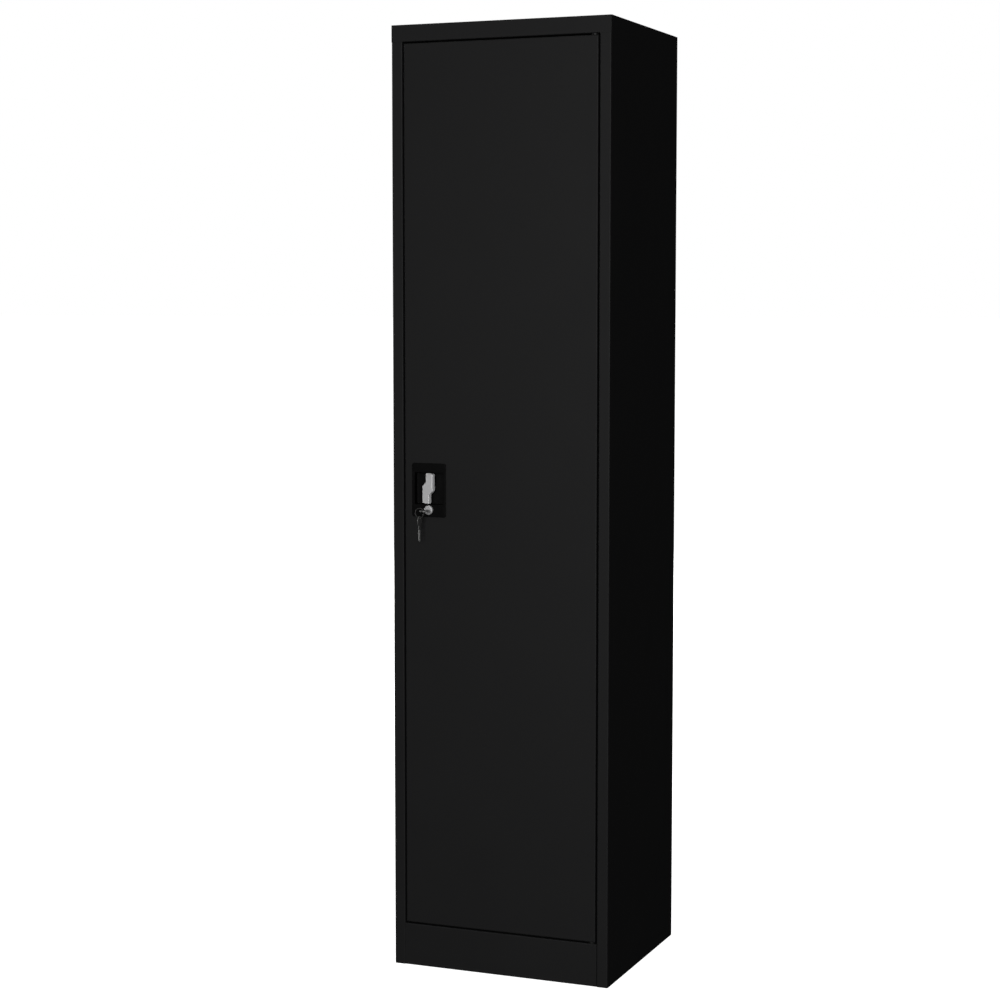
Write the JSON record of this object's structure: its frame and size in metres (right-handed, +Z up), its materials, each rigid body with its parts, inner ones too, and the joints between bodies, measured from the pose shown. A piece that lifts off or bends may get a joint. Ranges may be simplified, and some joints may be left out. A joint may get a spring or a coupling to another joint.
{
  "type": "filing cabinet",
  "caption": "Tall, narrow steel cabinet with a full-height hinged door, a sunk turn handle that throws bolts up and down, a cylinder lock with keys, and loose shelves on clips.",
  "frame": {"origin": "on the floor, at the middle of the casing's footprint", "axes": "+Z up, -Y out of the door, +X towards the hinges, to the right when facing the door"},
  "size_m": [0.45, 0.4396, 1.85],
  "materials": {
    "black_powder_coat": "black powder coat, fine texture, satin",
    "black_plastic": "moulded black, satin",
    "satin_die_casting": "satin silver on a zinc die casting",
    "bright_steel": "bright nickel plate",
    "zinc_plated_steel": "zinc plated, dull",
    "nylon": "black nylon",
    "rubber": "black rubber"
  },
  "bodies": {
    "cabinet": {"left_side_panel": "black_powder_coat", "right_side_panel": "black_powder_coat", "back_panel": "black_powder_coat", "top_panel": "black_powder_coat", "plinth_frame": "black_powder_coat", "floor_panel": "black_powder_coat", "upright_left_front": "black_powder_coat", "upright_left_rear": "black_powder_coat", "upright_right_front": "black_powder_coat", "upright_right_rear": "black_powder_coat", "shelf_clips": "zinc_plated_steel", "door_buffers": "rubber", "hinge_bush_upper": "nylon", "hinge_bush_lower": "nylon"},
    "door": {"door_skin": "black_powder_coat", "door_stiffener": "black_powder_coat", "upper_hinge_bracket": "zinc_plated_steel", "lower_hinge_bracket": "zinc_plated_steel", "lower_hinge_pin": "zinc_plated_steel", "handle_cup": "black_plastic", "lock_case": "zinc_plated_steel", "case_screws": "bright_steel", "rod_guides": "nylon", "lock_cylinder": "satin_die_casting", "lock_nut": "bright_steel"},
    "hinge_pin": {"upper_hinge_pin": "zinc_plated_steel", "hinge_pin_clip": "bright_steel", "hinge_spring": "bright_steel"},
    "handle": {"turn_handle": "satin_die_casting", "lock_rotor": "zinc_plated_steel", "handle_washer": "bright_steel", "handle_screw": "bright_steel"},
    "upper_bolt": {"upper_rod": "zinc_plated_steel"},
    "lower_bolt": {"lower_rod": "zinc_plated_steel"},
    "plug": {"lock_plug": "bright_steel", "lock_cam": "zinc_plated_steel", "cam_screw": "bright_steel"},
    "key": {"door_key": "bright_steel"},
    "ring": {"key_ring": "bright_steel"},
    "spare": {"spare_key": "bright_steel"},
    "bottom_shelf": {"shelf_1": "black_powder_coat"},
    "low_shelf": {"shelf_2": "black_powder_coat"},
    "high_shelf": {"shelf_3": "black_powder_coat"},
    "top_shelf": {"shelf_4": "black_powder_coat"}
  },
  "joints": [
    {"name": "door_swing", "type": "hinge", "parent": "cabinet", "child": "door", "pos_m": [0.1905, -0.192, 0.95], "axis": [0, 0, 1], "range_deg": [0, 105]},
    {"name": "upper_pin_pull", "type": "slide", "parent": "door", "child": "hinge_pin", "axis": [0, 0, -1], "range_m": [0, 0.011], "stiffness_N_per_m": 300, "springref_m": -0.005, "deforming": ["hinge_spring"]},
    {"name": "handle_turn", "type": "hinge", "parent": "door", "child": "handle", "pos_m": [-0.148, -0.2, 0.9555], "axis": [0, -1, 0], "range_deg": [0, 90]},
    {"name": "upper_rod_throw", "type": "slide", "parent": "door", "child": "upper_bolt", "axis": [0, 0, 1], "range_m": [0, 0.02337]},
    {"name": "lower_rod_throw", "type": "slide", "parent": "door", "child": "lower_bolt", "axis": [0, 0, -1], "range_m": [0, 0.02337]},
    {"name": "key_turn", "type": "hinge", "parent": "door", "child": "plug", "pos_m": [-0.148, -0.2, 0.9129], "axis": [0, -1, 0], "range_deg": [0, 90]},
    {"name": "key_pull", "type": "slide", "parent": "plug", "child": "key", "axis": [0, -1, 0], "range_m": [0, 0.028]},
    {"name": "ring_lift", "type": "hinge", "parent": "key", "child": "ring", "pos_m": [-0.147, -0.2296, 0.9129], "axis": [0, 1, 0], "range_deg": [0, 30]},
    {"name": "spare_hang", "type": "hinge", "parent": "ring", "child": "spare", "pos_m": [-0.15535, -0.2296, 0.90953], "axis": [0, -1, 0], "range_deg": [-90, 0]},
    {"name": "bottom_shelf_lift", "type": "slide", "parent": "cabinet", "child": "bottom_shelf", "axis": [0, 0, 1], "range_m": [0, 0.05]},
    {"name": "low_shelf_lift", "type": "slide", "parent": "cabinet", "child": "low_shelf", "axis": [0, 0, 1], "range_m": [0, 0.05]},
    {"name": "high_shelf_lift", "type": "slide", "parent": "cabinet", "child": "high_shelf", "axis": [0, 0, 1], "range_m": [0, 0.05]},
    {"name": "top_shelf_lift", "type": "slide", "parent": "cabinet", "child": "top_shelf", "axis": [0, 0, 1], "range_m": [0, 0.05]}
  ],
  "couplings": [
    {"joint": "handle_turn", "follows": "upper_rod_throw", "rad_per_m": 67.204},
    {"joint": "lower_rod_throw", "follows": "upper_rod_throw", "ratio": 1},
    {"joint": "spare_hang", "follows": "key_turn", "ratio": -1}
  ]
}
